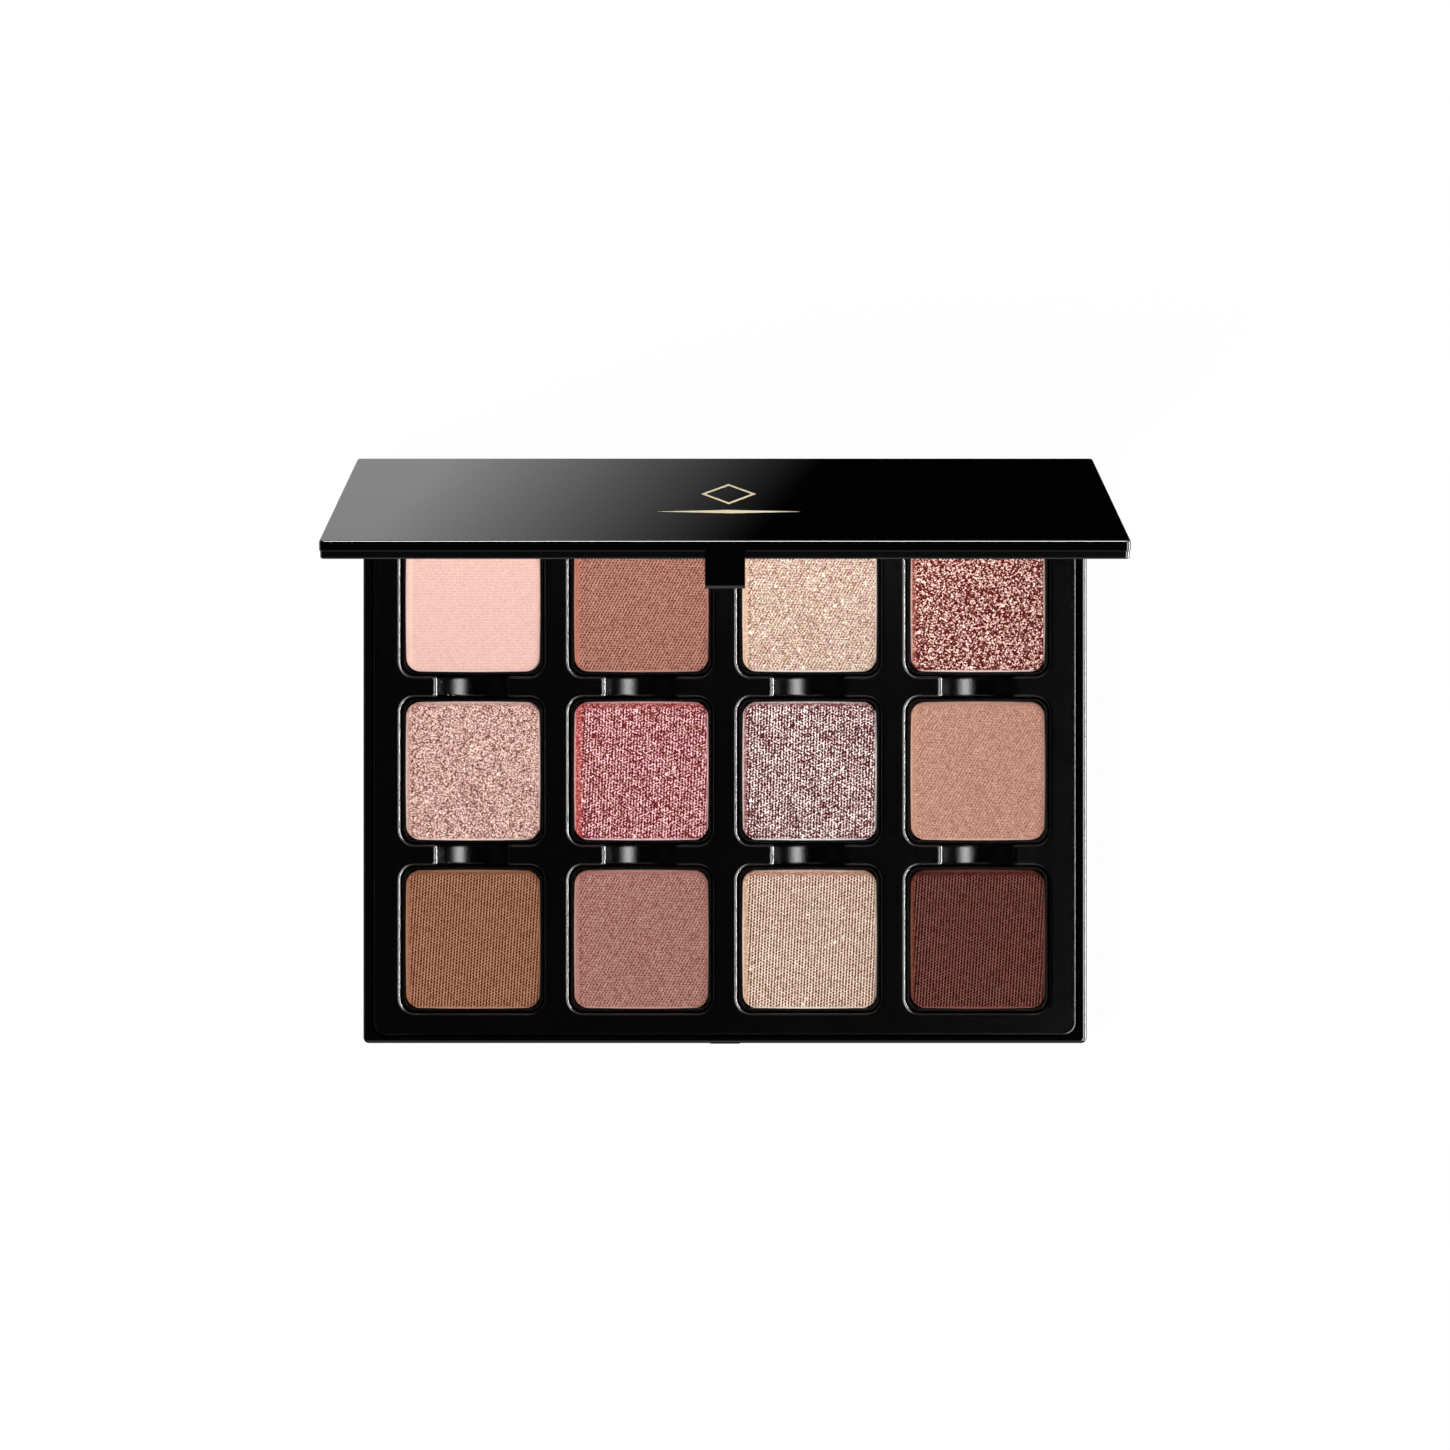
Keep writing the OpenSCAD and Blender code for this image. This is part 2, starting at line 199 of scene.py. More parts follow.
# %% Materials and patterns
def new_material(name):
    """An empty material, and the start of its expressions."""
    made = bpy.data.materials.new(name)
    made.use_nodes = True
    made.node_tree.nodes.clear()
    return made, Sock(made.node_tree)


def show(shader, output="ShaderNodeOutputMaterial"):
    """Ends a tree with a shader."""
    end = shader.tree.nodes.new(output)
    shader.tree.links.new(shader.out, end.inputs["Surface"])


def principled(start, inputs):
    show(start.node("ShaderNodeBsdfPrincipled", {}, inputs))


def object_space(start, scale=1000.0):
    """Object coordinates, in millimetres unless the scale says otherwise."""
    place = start.node("ShaderNodeTexCoord", {}, {}, "Object")
    return start.node("ShaderNodeVectorMath", {"operation": "SCALE"}, {0: place, "Scale": scale})


def stretched(place, factors):
    return place.node("ShaderNodeVectorMath", {"operation": "MULTIPLY"}, {0: place, 1: factors})


def noise(place, scale, detail=2.0, rough=0.5):
    return place.node("ShaderNodeTexNoise", {}, {"Vector": place, "Scale": scale,
                                                 "Detail": detail, "Roughness": rough}, "Fac")


def grains(place, scale):
    """Cells with a random colour each, whose axes are three chances."""
    return place.node("ShaderNodeTexVoronoi", {"feature": "F1"},
                      {"Vector": place, "Scale": scale, "Randomness": 1.0}, "Color")


print("material helpers ready")

# %% [markdown]
# ## The table
#
# Glossy black shows nothing of its own, only what it mirrors, so the studio is built for its
# reflections. The table comes first. For the camera and in a gloss it glows almost white, and a
# little matte white on top of that takes the shadow. Light bouncing about meets a plain pale
# table. Close to the case, its reflection fades to black, and so the walls stay black too.
# %% Table
FLOOR_HALF, FLOOR_BELOW = 3, 0.2 * MM
FLOOR_GLOW, FLOOR_SHADED, FLOOR_PLAIN = 0.96, 0.06, 0.8
CASE_REACH_X, CASE_REACH_Y = 53.0, 41.5
DARK_TO, PALE_FROM = 10.0, 90.0


def flat_sheet(name, corners, material):
    """A sheet of the studio, which is no part of the palette."""
    mesh = bpy.data.meshes.new(name)
    mesh.from_pydata(corners, [], [tuple(range(len(corners)))])
    mesh.materials.append(material)
    sheet = bpy.data.objects.new(name, mesh)
    bpy.context.collection.objects.link(sheet)
    return sheet


def level(x_low, x_high, y_low, y_high, z):
    return [(x_low, y_low, z), (x_high, y_low, z), (x_high, y_high, z), (x_low, y_high, z)]


def rays(start, *kinds):
    """1 for a ray of one of the kinds, such as Camera or Glossy."""
    found = [start.node("ShaderNodeLightPath", {}, {}, f"Is {kind} Ray") for kind in kinds]
    return sum(found[1:], found[0]).clamped()


def floor_material():
    made, start = new_material("studio_floor")
    place = object_space(start)
    beside = larger(absolute(place.axis("X")) - CASE_REACH_X,
                    absolute(place.axis("Y")) - CASE_REACH_Y)
    cast = rays(start, "Glossy") * (1 - beside.fade(DARK_TO, PALE_FROM))
    white = start.node("ShaderNodeEmission", {}, {"Color": grey(1),
                                                  "Strength": FLOOR_GLOW * (1 - cast)})
    matte = start.node("ShaderNodeBsdfDiffuse", {}, {"Color": grey(FLOOR_SHADED)})
    both = start.node("ShaderNodeAddShader", {}, {0: white, 1: matte})
    plain = start.node("ShaderNodeBsdfDiffuse", {}, {"Color": grey(FLOOR_PLAIN)})
    seen = rays(start, "Camera", "Glossy", "Transmission")
    show(start.node("ShaderNodeMixShader", {}, {0: seen, 1: plain, 2: both}))
    return made


flat_sheet("floor", level(-FLOOR_HALF, FLOOR_HALF, -FLOOR_HALF, FLOOR_HALF, -FLOOR_BELOW),
           floor_material())
print("table", 2 * FLOOR_HALF, "m wide")

# %% [markdown]
# ## The cards
#
# Each bright line on the black is a card's mirror image, so each card has one job. The dark
# ceiling keeps flat tops black. The softbox, high on the right, shows only in the slopes of the
# finger scoops. A long strip, low on the right, draws the thin line down each well's lip. A small
# card behind lights the lid's free edge, and a weak glow in front lights the thumb tab and the
# rims. Lamps could do this, but they would light the powders as well, so these are cards that
# show in reflections and nowhere else. Softboxes fade towards their ends, as real ones do, so
# their lines have no hard stop.
# %% Cards that only a gloss sees
def only_in_reflections(sheet):
    for ray in ("camera", "diffuse", "shadow", "transmission", "volume_scatter"):
        setattr(sheet, f"visible_{ray}", False)


def glow(start, strength):
    show(start.node("ShaderNodeEmission", {}, {"Color": grey(1), "Strength": strength}))


def even_glow(name, strength):
    made, start = new_material(name)
    glow(start, strength)
    return made


def softbox_glow(name, strength, foot, full, fading, top):
    """Glows between two heights in metres, with a fade at its foot and one at its top."""
    made, start = new_material(name)
    height = object_space(start, 1.0).axis("Z")
    glow(start, strength * (height.fade(foot, full) * (1 - height.fade(fading, top))))
    return made


def facing_card(name, place, width, height, material):
    """A card turned towards the palette."""
    turn = (-Vector(place)).to_track_quat("Z", "Y").to_matrix().to_4x4()
    stand = Matrix.Translation(place) @ turn
    corners = [tuple(stand @ Vector((x * width / 2, y * height / 2, 0)))
               for x, y in ((-1, -1), (1, -1), (1, 1), (-1, 1))]
    only_in_reflections(flat_sheet(name, corners, material))


print("cards can be cut")

# %% Hanging the cards
only_in_reflections(flat_sheet("dark_ceiling", level(-1.6, 1.6, -1.4, 0.7, 1.2),
                               even_glow("dark_card", 0.0)))
facing_card("softbox_right", (0.566, -0.1, 0.819), width=1.7, height=0.9,
            material=softbox_glow("softbox", 14.0, foot=0.54, full=0.86, fading=0.85, top=0.99))
facing_card("glow_front", (0.0, -1.5, 0.75), width=2.0, height=0.9,
            material=softbox_glow("weak_softbox", 1.3, foot=0.3, full=0.6, fading=0.85, top=1.15))
facing_card("strip_right", (1.3, -0.1, 0.09), width=2.2, height=0.115,
            material=even_glow("bright_strip", 140.0))
facing_card("strip_back", (0.0, 1.04, 0.62), width=0.4, height=0.3,
            material=even_glow("small_strip", 60.0))
print("cards hung round the palette")

# %% [markdown]
# The standing lid mirrors the table behind it. A card lies there whose glow is strongest on the
# left and dies away to black on the right, along a slanting line. That shapes the lid's gloss. A
# gradient painted on the lid would stick to it, but a mirrored one slides as the lid turns.
# %% Card behind the lid
CARD = dict(x_low=-0.12, x_high=0.12, y_low=0.044, y_high=0.1, z=0.0)
CARD_BLACK_AT, CARD_FADE = 12.9, 56.7
CARD_SLANT, CARD_SLANT_FROM = 0.86, 48.5
CARD_GLOW, CARD_FALL = 0.49, 1.5


def table_card_material():
    made, start = new_material("fading_card")
    place = object_space(start)
    across = place.axis("X") + CARD_SLANT * (place.axis("Y") - CARD_SLANT_FROM)
    tone = ((CARD_BLACK_AT - across) / CARD_FADE).clamped()
    glow(start, CARD_GLOW * tone ** CARD_FALL)
    return made


only_in_reflections(flat_sheet("table_card", level(**CARD), table_card_material()))
print("card behind the lid", round((CARD["x_high"] - CARD["x_low"]) / MM), "mm wide")

# %% [markdown]
# ## Lamps and room
#
# Soft light from the left front, a little from behind and a pale room light the powders. The
# lamps are kept out of reflections, which is what the glossy switch of an object is for, and the
# room is nearly dark there. A Light Path node tells the rays apart, so the backdrop is white.
# %% Lamps and room
ROOM_TONE, ROOM_DIMMED = 0.36, 0.33


def lamp(name, place, aim, size, power):
    data = bpy.data.lights.new(name, "AREA")
    data.shape = "RECTANGLE"
    data.size, data.size_y = size
    data.energy = power
    made = bpy.data.objects.new(name, data)
    made.location = place
    made.rotation_euler = (Vector(aim) - Vector(place)).to_track_quat("-Z", "Y").to_euler()
    made.visible_glossy = False
    bpy.context.collection.objects.link(made)


lamp("key_left_front", place=(-0.55, -0.35, 0.75), aim=(0, 0, 0), size=(0.5, 0.5), power=8.0)
lamp("fill_back", place=(0.0, 0.7, 0.14), aim=(0, 0.04, 0.05), size=(0.5, 0.2), power=3.0)

world = bpy.data.worlds.new("room")
world.use_nodes = True
world.node_tree.nodes.clear()
room = Sock(world.node_tree)
soft = room.node("ShaderNodeBackground", {}, {
    "Color": grey(1), "Strength": ROOM_TONE - ROOM_DIMMED * rays(room, "Glossy")})
bright = room.node("ShaderNodeBackground", {}, {"Color": grey(1), "Strength": 1.0})
backdrop = rays(room, "Camera", "Transmission")
show(room.node("ShaderNodeMixShader", {}, {0: backdrop, 1: soft, 2: bright}),
     "ShaderNodeOutputWorld")
bpy.context.scene.world = world
print("studio lit")

# %% [markdown]
# ## Black plastics
#
# The case and the lid come from a polished mould. They are almost pure black, so their look is
# all in a smooth layer of reflection, with wiping marks and specks of dust that make it a little
# rougher. A clear coat could carry that, but the plastic is black all through and one layer is
# enough. The tray is the same black from a mould with a fine spark-eroded grain: a bump of a
# twentieth of a millimetre breaks each highlight into a grainy line.
# %% Gloss and satin black
WIPED, DUSTY = 0.05, 0.1
DUST_PALER, BLUER = 3, 1.08
TRAY_DEEP, TRAY_HIGH = (0.0006, 0.0006, 0.0007, 1), (0.0018, 0.0018, 0.0022, 1)
TRAY_ROUGH, TRAY_CLOUDED = 0.11, 0.04
TRAY_GRAIN = 0.05 * MM


def gloss_black(name, tone, rough):
    made, start = new_material(name)
    place = object_space(start)
    wiped = noise(place, 0.05, detail=3.0)
    dust = noise(place, 6.0, detail=1.0).fade(0.70, 0.80)
    principled(start, {
        "Base Color": mix_colour(dust, (tone, tone, tone * BLUER, 1), grey(tone * DUST_PALER)),
        "Roughness": rough + WIPED * wiped + DUSTY * dust,
        "IOR": 1.5,
    })
    return made


def satin_black(name):
    made, start = new_material(name)
    place = object_space(start)
    grain = noise(place, 4.6, detail=3.0, rough=0.6)
    cloud = noise(place, 0.15)
    principled(start, {
        "Base Color": mix_colour(grain, TRAY_DEEP, TRAY_HIGH),
        "Roughness": TRAY_ROUGH + TRAY_CLOUDED * cloud,
        "IOR": 1.48,
        "Normal": start.node("ShaderNodeBump", {}, {"Height": grain, "Strength": 0.6,
                                                    "Distance": TRAY_GRAIN}),
    })
    return made


print("black recipes ready")


# %% Dressing the case, the lid and the tray
def dress(node, material):
    """Gives a CAD node's surfaces a material."""
    shown = nodes[node].data.materials
    if len(shown) == 0:
        shown.append(material)
    for i in range(len(shown)):
        shown[i] = material


dress("case", gloss_black("case_gloss_black", tone=0.0012, rough=0.06))
dress("lid_shell", gloss_black("lid_gloss_black", tone=0.001, rough=0.04))
dress("mirror_frame", gloss_black("mirror_frame_black", tone=0.002, rough=0.12))
dress("tray", satin_black("tray_satin_black"))
print("black plastics on")

# %% [markdown]
# ## Metal and mirror
#
# The hinge pins are ground wire, the magnets have a dull nickel skin, and the mirror is silvered
# glass. A mirror could be glass over metal, but for a viewer it is one smooth metal. All three
# share one recipe, noise stretched into the marks that the making leaves. The tins are stamped
# from thin tinplate, with drawing marks round their walls, and their top edges are painted almost
# black: painted shade for the dark gap round each tin. The adhesive sheet behind the mirror is
# black foam.
# %% Metals and foam
MARK_SHADE, MARK_ROUGH = 0.82, 0.12
TIN_DARK, TIN_PALE = (0.50, 0.48, 0.45, 1), (0.62, 0.60, 0.57, 1)
TIN_DRAWN = (1.5, 1.5, 12.0)
TIN_ROUGH, RIM_SHADE_ROUGH = 0.12, 0.2
RIM_SHADE, RIM_SHADE_COVER, RIM_SHADE_PATCHY = (0.006, 0.003, 0.003, 1), 0.96, 0.04
RIM_SHADE_FOOT, RIM_SHADE_FULL = 0.6, 0.3


def metal(name, tone, rough, marks):
    made, start = new_material(name)
    streak = noise(stretched(object_space(start), marks), 1.0, detail=3.0)
    principled(start, {
        "Base Color": mix_colour(streak, shaded(tone, MARK_SHADE), tone),
        "Metallic": 1.0,
        "Roughness": rough + MARK_ROUGH * (streak - 0.5),
    })
    return made


def rim_shaded_tin(top):
    """Tinplate whose top edge, at a height in millimetres, is painted dark as painted shade."""
    made, start = new_material("tinplate")
    place = object_space(start)
    rim = place.axis("Z").fade(top - RIM_SHADE_FOOT, top - RIM_SHADE_FULL)
    # painted shade: the top edge is painted almost black for the shadow in the gap round each tin
    rim_shade = rim * (RIM_SHADE_COVER + RIM_SHADE_PATCHY * noise(place, 1.2, detail=3.0))
    drawn = noise(stretched(place, TIN_DRAWN), 1.0, detail=3.0)
    principled(start, {
        "Base Color": mix_colour(rim_shade, mix_colour(drawn, TIN_DARK, TIN_PALE), RIM_SHADE),
        "Metallic": 1.0,
        "Roughness": TIN_ROUGH + RIM_SHADE_ROUGH * rim_shade,
    })
    return made


def foam(name):
    made, start = new_material(name)
    pores = noise(object_space(start), 5.0)
    principled(start, {"Base Color": mix_colour(pores, grey(0.01), grey(0.03)),
                       "Roughness": 0.9})
    return made


print("metal recipes ready")

# %% Dressing the tins, the pins and the mirror
tinplate = rim_shaded_tin(top=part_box("tin_a1")[1][2] * 1000)
for node in nodes:
    if node.startswith("tin_"):
        dress(node, tinplate)
pin_steel = metal("pin_steel", (0.62, 0.62, 0.63, 1), rough=0.22, marks=(8.0, 1.0, 1.0))
dress("hinge_pin_left", pin_steel)
dress("hinge_pin_right", pin_steel)
dress("pan_magnets", metal("magnet_nickel", (0.45, 0.44, 0.42, 1), rough=0.4,
                           marks=(2.0, 2.0, 2.0)))
dress("mirror_glass", metal("silvered_glass", (0.88, 0.90, 0.90, 1), rough=0.012,
                            marks=(0.05, 0.05, 0.05)))
dress("mirror_tape", foam("adhesive_foam"))
print("metals on")

# %% [markdown]
# ## A cake of pressed powder
#
# Powder is pressed into its tin under a ribbon of cloth. The cake's plan is a square with bowed
# sides and wide corners, its middle takes the weave, and its rim stays a smooth sloping band. It
# could be a bevelled box, but a bevel doesn't bow a side. The shape follows a rule, so Geometry
# Nodes make it: a finely divided box is moved point by point. Each corner of the box is turned
# from a square into a quarter disc, the sides are bowed, and the height falls over the band and
# then rounds off into the tin.
# %% The sizes of a cake
CAKE_HALF_X, CAKE_HALF_Y = 9.76, 10.06
CAKE_SIZES = {
    "Half X": CAKE_HALF_X * MM, "Half Y": CAKE_HALF_Y * MM, "Corner Radius": 1.9 * MM,
    "Side Bow": 0.15 * MM, "Band Width": 1.1 * MM, "Band Drop": 0.12 * MM,
    "Edge Radius": 0.2 * MM, "Bottom": 0.0, "Top": 0.0, "Centre X": 0.0, "Centre Y": 0.0,
}
CAKE_POINTS = 72
TINY = 1e-9
print("a cake is", 2 * CAKE_HALF_X, "by", 2 * CAKE_HALF_Y, "mm")


# %% The geometry tree of a cake
def cake_tree():
    tree = bpy.data.node_groups.new("pressed_cake", "GeometryNodeTree")
    for name, value in CAKE_SIZES.items():
        socket = tree.interface.new_socket(name, in_out="INPUT", socket_type="NodeSocketFloat")
        socket.default_value = value
    tree.interface.new_socket("Powder", in_out="INPUT", socket_type="NodeSocketMaterial")
    tree.interface.new_socket("Cake", in_out="OUTPUT", socket_type="NodeSocketGeometry")
    start = Sock(tree)
    given = tree.nodes.new("NodeGroupInput")
    size = {socket.name: Sock(tree, socket) for socket in given.outputs}

    # the plan: round corners, then bowed sides
    box = start.node("GeometryNodeMeshCube", {}, {
        "Size": (2, 2, 2), "Vertices X": CAKE_POINTS, "Vertices Y": CAKE_POINTS,
        "Vertices Z": 2}, "Mesh")
    place = start.node("GeometryNodeInputPosition")
    half_x, half_y, corner = size["Half X"], size["Half Y"], size["Corner Radius"]
    x, y = place.axis("X") * half_x, place.axis("Y") * half_y
    over_x = larger(absolute(x) - (half_x - corner), 0.0)
    over_y = larger(absolute(y) - (half_y - corner), 0.0)
    reach = (over_x * over_x + over_y * over_y) ** 0.5
    pull = larger(over_x, over_y) / larger(reach, TINY)
    round_x = x.math("SIGN", x) * (absolute(x) - over_x + over_x * pull)
    round_y = y.math("SIGN", y) * (absolute(y) - over_y + over_y * pull)
    bow = size["Side Bow"]
    share_x, share_y = round_x / half_x, round_y / half_y
    bowed_x = round_x * (1 - bow / half_x * (share_y * share_y))
    bowed_y = round_y * (1 - bow / half_y * (share_x * share_x))

    # the height: a sloping band, then a rounded edge
    edge = smaller(half_x - absolute(x), half_y - absolute(y))
    band = edge.fade(0.0, size["Band Width"])
    radius = size["Edge Radius"]
    near = larger(radius - edge, 0.0)
    rounding = radius - larger(radius * radius - near * near, 0.0) ** 0.5
    top = size["Top"] - size["Band Drop"] * (1 - band) - rounding
    upper = place.axis("Z") > 0.0
    height = upper * top + (1 - upper) * size["Bottom"]

    moved = start.node("ShaderNodeCombineXYZ", {}, {
        "X": bowed_x + size["Centre X"], "Y": bowed_y + size["Centre Y"], "Z": height})
    shaped = start.node("GeometryNodeSetPosition", {}, {"Geometry": box, "Position": moved})
    smooth = start.node("GeometryNodeSetShadeSmooth", {}, {"Geometry": shaped,
                                                           "Shade Smooth": True})
    whole = start.node("GeometryNodeRealizeInstances", {}, {"Geometry": smooth})
    dressed = start.node("GeometryNodeSetMaterial", {}, {"Geometry": whole,
                                                         "Material": size["Powder"]})
    end = tree.nodes.new("NodeGroupOutput")
    tree.links.new(dressed.out, end.inputs["Cake"])
    return tree


CAKE_TREE = cake_tree()
print("cake tree:", len(CAKE_TREE.nodes), "nodes")

# %% [markdown]
# A tree needs an object to run on. An empty one holds the modifier, and its inputs are set by
# their identifiers. The modifier could stay live, but a piece that rides on a body is simplest
# as a plain mesh, so the result is copied into one.
# %% Making a piece from a tree
def new_piece(name, mesh):
    mesh.name = name
    piece = bpy.data.objects.new(name, mesh)
    bpy.context.collection.objects.link(piece)
    return piece


def grown(name, tree, values):
    """Runs a geometry tree on an empty mesh and returns the result as a plain piece."""
    holder = bpy.data.objects.new("holder", bpy.data.meshes.new("holder"))
    bpy.context.collection.objects.link(holder)
    modifier = holder.modifiers.new("grow", "NODES")
    modifier.node_group = tree
    for item in tree.interface.items_tree:
        if item.in_out == "INPUT" and item.name in values:
            modifier[item.identifier] = values[item.name]
    seen = holder.evaluated_get(bpy.context.evaluated_depsgraph_get())
    mesh = bpy.data.meshes.new_from_object(seen)
    bpy.data.objects.remove(holder)
    return new_piece(name, mesh)


print("pieces can be grown from trees")

# %% [markdown]
# ## Twelve powders
#
# One number says how bright each point of a powder is, and a colour ramp turns it into the
# powder's colour: dark in the pits, as painted shade, and light on the grains. It starts from
# the shade's middle, and four things move it. The cloth's weave is a lattice of pits: columns
# that lean a few degrees, with every second column's pits half a pitch lower, which is what the
# product of two cosines gives. Flakes of mica are cells, each with a chance of its own. Dust is
# cells too, but it never shines, and blotches are slow noise. The ribbon stops short of the
# cake's left and back edges, so a smooth band is left there. Its colour is painted light: lit on
# the left and shaded at the back, and a painted shadow lies just inside the left one. Round the
# rim a painted highlight makes the powder paler, most of all at the front and on the right.
# %% The weave and the painted rim highlight
RIM_HIGHLIGHT_FULL, RIM_HIGHLIGHT_END = 0.14, 0.34
RIM_HIGHLIGHT_COVER, RIM_HIGHLIGHT_MORE = 0.45, 0.4


def between(value, low, high, soft):
    """1 between two limits, with soft shoulders."""
    return value.fade(low - soft, low + soft) * (1 - value.fade(high - soft, high + soft))


def weave_pits(turned, pitch):
    """1 in the middle of a pit, 0 on the cloth's threads."""
    across = turned.axis("X") * (math.pi / pitch)
    along = turned.axis("Y") * (2 * math.pi / pitch)
    columns = 0.5 + 0.5 * cosine(2 * across)
    dots = 0.5 + 0.5 * (cosine(across) * cosine(along))
    return 0.5 * columns + 0.5 * dots


def rim_highlight(x, y):
    """How much of the painted rim highlight covers a point."""
    right, front = CAKE_HALF_X - x, CAKE_HALF_Y + y
    nearest = smaller(smaller(CAKE_HALF_X + x, right), smaller(front, CAKE_HALF_Y - y))
    highlight_share = RIM_HIGHLIGHT_COVER + RIM_HIGHLIGHT_MORE * (smaller(right, front) - nearest < 0.01)
    return (1 - nearest.fade(RIM_HIGHLIGHT_FULL, RIM_HIGHLIGHT_END)) * highlight_share


print("weave and frost ready")

# %% [markdown]
# The recipe joins them. Its lengths are in millimetres: how wide the two bands are (left, back),
# the weave's pitch and the size of a flake (cell). The weave leans by so many degrees. The other
# numbers are amounts, and the two band colours are painted light, a lit copy of the powder for
# the left and a shaded one for the back. Flakes shimmer: the brightest are smoother and a little
# metallic, some have another hue, and a few cells are painted near white as painted glints.
# %% The powder recipe
CAKE_SHIFT = 0.07
FRAY = 0.6
BAND_EDGE, BACK_EDGE, BAND_COVER = 0.1, 0.2, 0.5
STEP_FROM, STEP_TO, STEP_SOFT = 0.1, 0.45, 0.15
CREST_LEAST, CREST_MORE = 0.82, 0.2
PATCH_LEAST, PATCH_MORE = 0.6, 0.8
PATCH_SCALE, BLOTCH_SCALE, DUST_SCALE, GLINT_SCALE = 0.3, 0.28, 6.5, 2.4
GLINT_CHANCE, SHINY_FROM = 0.02, 0.75
RIM_HIGHLIGHT_PALER, GLINT_PALER = 1.12, 1.25
POWDER_ROUGH, FLAKE_ROUGH, SHINE_SMOOTHER, SHINE_METAL = 0.9, 0.85, 0.35, 0.3
DUST_HEIGHT, PIT_DEPTH = 0.15, 0.1 * MM


def powder_material(name, centre, dark, colour, light, lit_left_band, shaded_back_band, dust, left=1.0,
                    back=0.75, step_shadow=0.0, weave=0.0, pitch=0.5, lean=5.0, grain=0.0, cell=0.15,
                    shimmer=0.0, hue=0.0, glints=0.0, blotch=0.0, middle=0.5):
    made, start = new_material(name)
    local = start.node("ShaderNodeMapping", {}, {
        "Vector": object_space(start), "Location": (-centre[0] - CAKE_SHIFT, -centre[1], 0)})
    turned = start.node("ShaderNodeMapping", {}, {
        "Vector": local, "Rotation": (0, 0, math.radians(lean))})
    x, y = local.axis("X"), local.axis("Y")
    frayed = FRAY * noise(local, 1.8, detail=3.0) - FRAY / 2
    from_left, from_back = CAKE_HALF_X + x + frayed, CAKE_HALF_Y - y + frayed
    in_left = from_left.fade(left - BAND_EDGE, left + BAND_EDGE)
    in_back = from_back.fade(back - BAND_EDGE, back + BACK_EDGE)
    inside = smaller(in_left, in_back)

    # the number
    pits = weave_pits(turned, pitch)
    patchy = PATCH_LEAST + PATCH_MORE * noise(local, PATCH_SCALE)
    fine = grains(local, DUST_SCALE).axis("X")
    # painted shade: the weave's pits are painted darker; the bump further down is their real
    # relief
    number = middle + (inside * patchy * weave) * (0.5 - pits) + dust * (fine - 0.5)
    # painted shadow: a dark stripe just inside the left band, as cast by a step
    number = number - step_shadow * between(from_left, left + STEP_FROM, left + STEP_TO, STEP_SOFT)
    if blotch:
        slow = noise(local, BLOTCH_SCALE, detail=3.0, rough=0.6)
        number = number + blotch * (slow - 0.5)
    rough, metallic = POWDER_ROUGH, 0.0
    if grain:
        flakes = grains(local, 1.0 / cell)
        chance, flip = flakes.axis("X"), flakes.axis("Y")
        number = number + grain * (chance - 0.5)
        lit = chance.fade(SHINY_FROM, 1.0) * shimmer
        rough, metallic = FLAKE_ROUGH - SHINE_SMOOTHER * lit, SHINE_METAL * lit

    # its colour
    tone = number.node("ShaderNodeValToRGB",
                       {"stops": ((0.0, dark), (0.5, colour), (1.0, light))},
                       {"Fac": number}, "Color")
    if hue:
        tone = tone.node("ShaderNodeHueSaturation", {}, {
            "Hue": 0.5 + hue * (flip - 0.5), "Saturation": 1.0, "Color": tone})
    # painted glints: a few rare cells are painted near white
    if glints:
        rare = grains(local, GLINT_SCALE).axis("Z")
        tone = mix_colour(rare.fade(1 - GLINT_CHANCE * glints, 1.0) * inside, tone,
                          shaded(light, GLINT_PALER))

    # the smooth bands, painted lit and shaded, and the painted highlight round the rim
    # painted light: the left band is a lit copy of the powder, painted darker towards the cake's
    # edge,
    crest = (CREST_LEAST + CREST_MORE * (from_left / left)).clamped()
    # and the back band is a shaded copy
    foil_wear_and_lit_band = mix_colour(crest, grey(0), lit_left_band)
    tone = mix_colour((1 - in_back) * BAND_COVER, tone, shaded_back_band)
    tone = mix_colour((1 - in_left) * BAND_COVER, tone, foil_wear_and_lit_band)
    # painted highlight: the rim is painted paler, most of all at the front and on the right
    tone = mix_colour(rim_highlight(x, y), tone, shaded(light, RIM_HIGHLIGHT_PALER))

    height = DUST_HEIGHT * fine - (inside * weave) * pits
    bump = start.node("ShaderNodeBump", {}, {"Height": height, "Strength": 0.4,
                                             "Distance": PIT_DEPTH})
    principled(start, {"Base Color": tone, "Roughness": rough, "Metallic": metallic,
                       "Normal": bump, "Specular IOR Level": 0.05})
    return made


print("powder recipe ready")

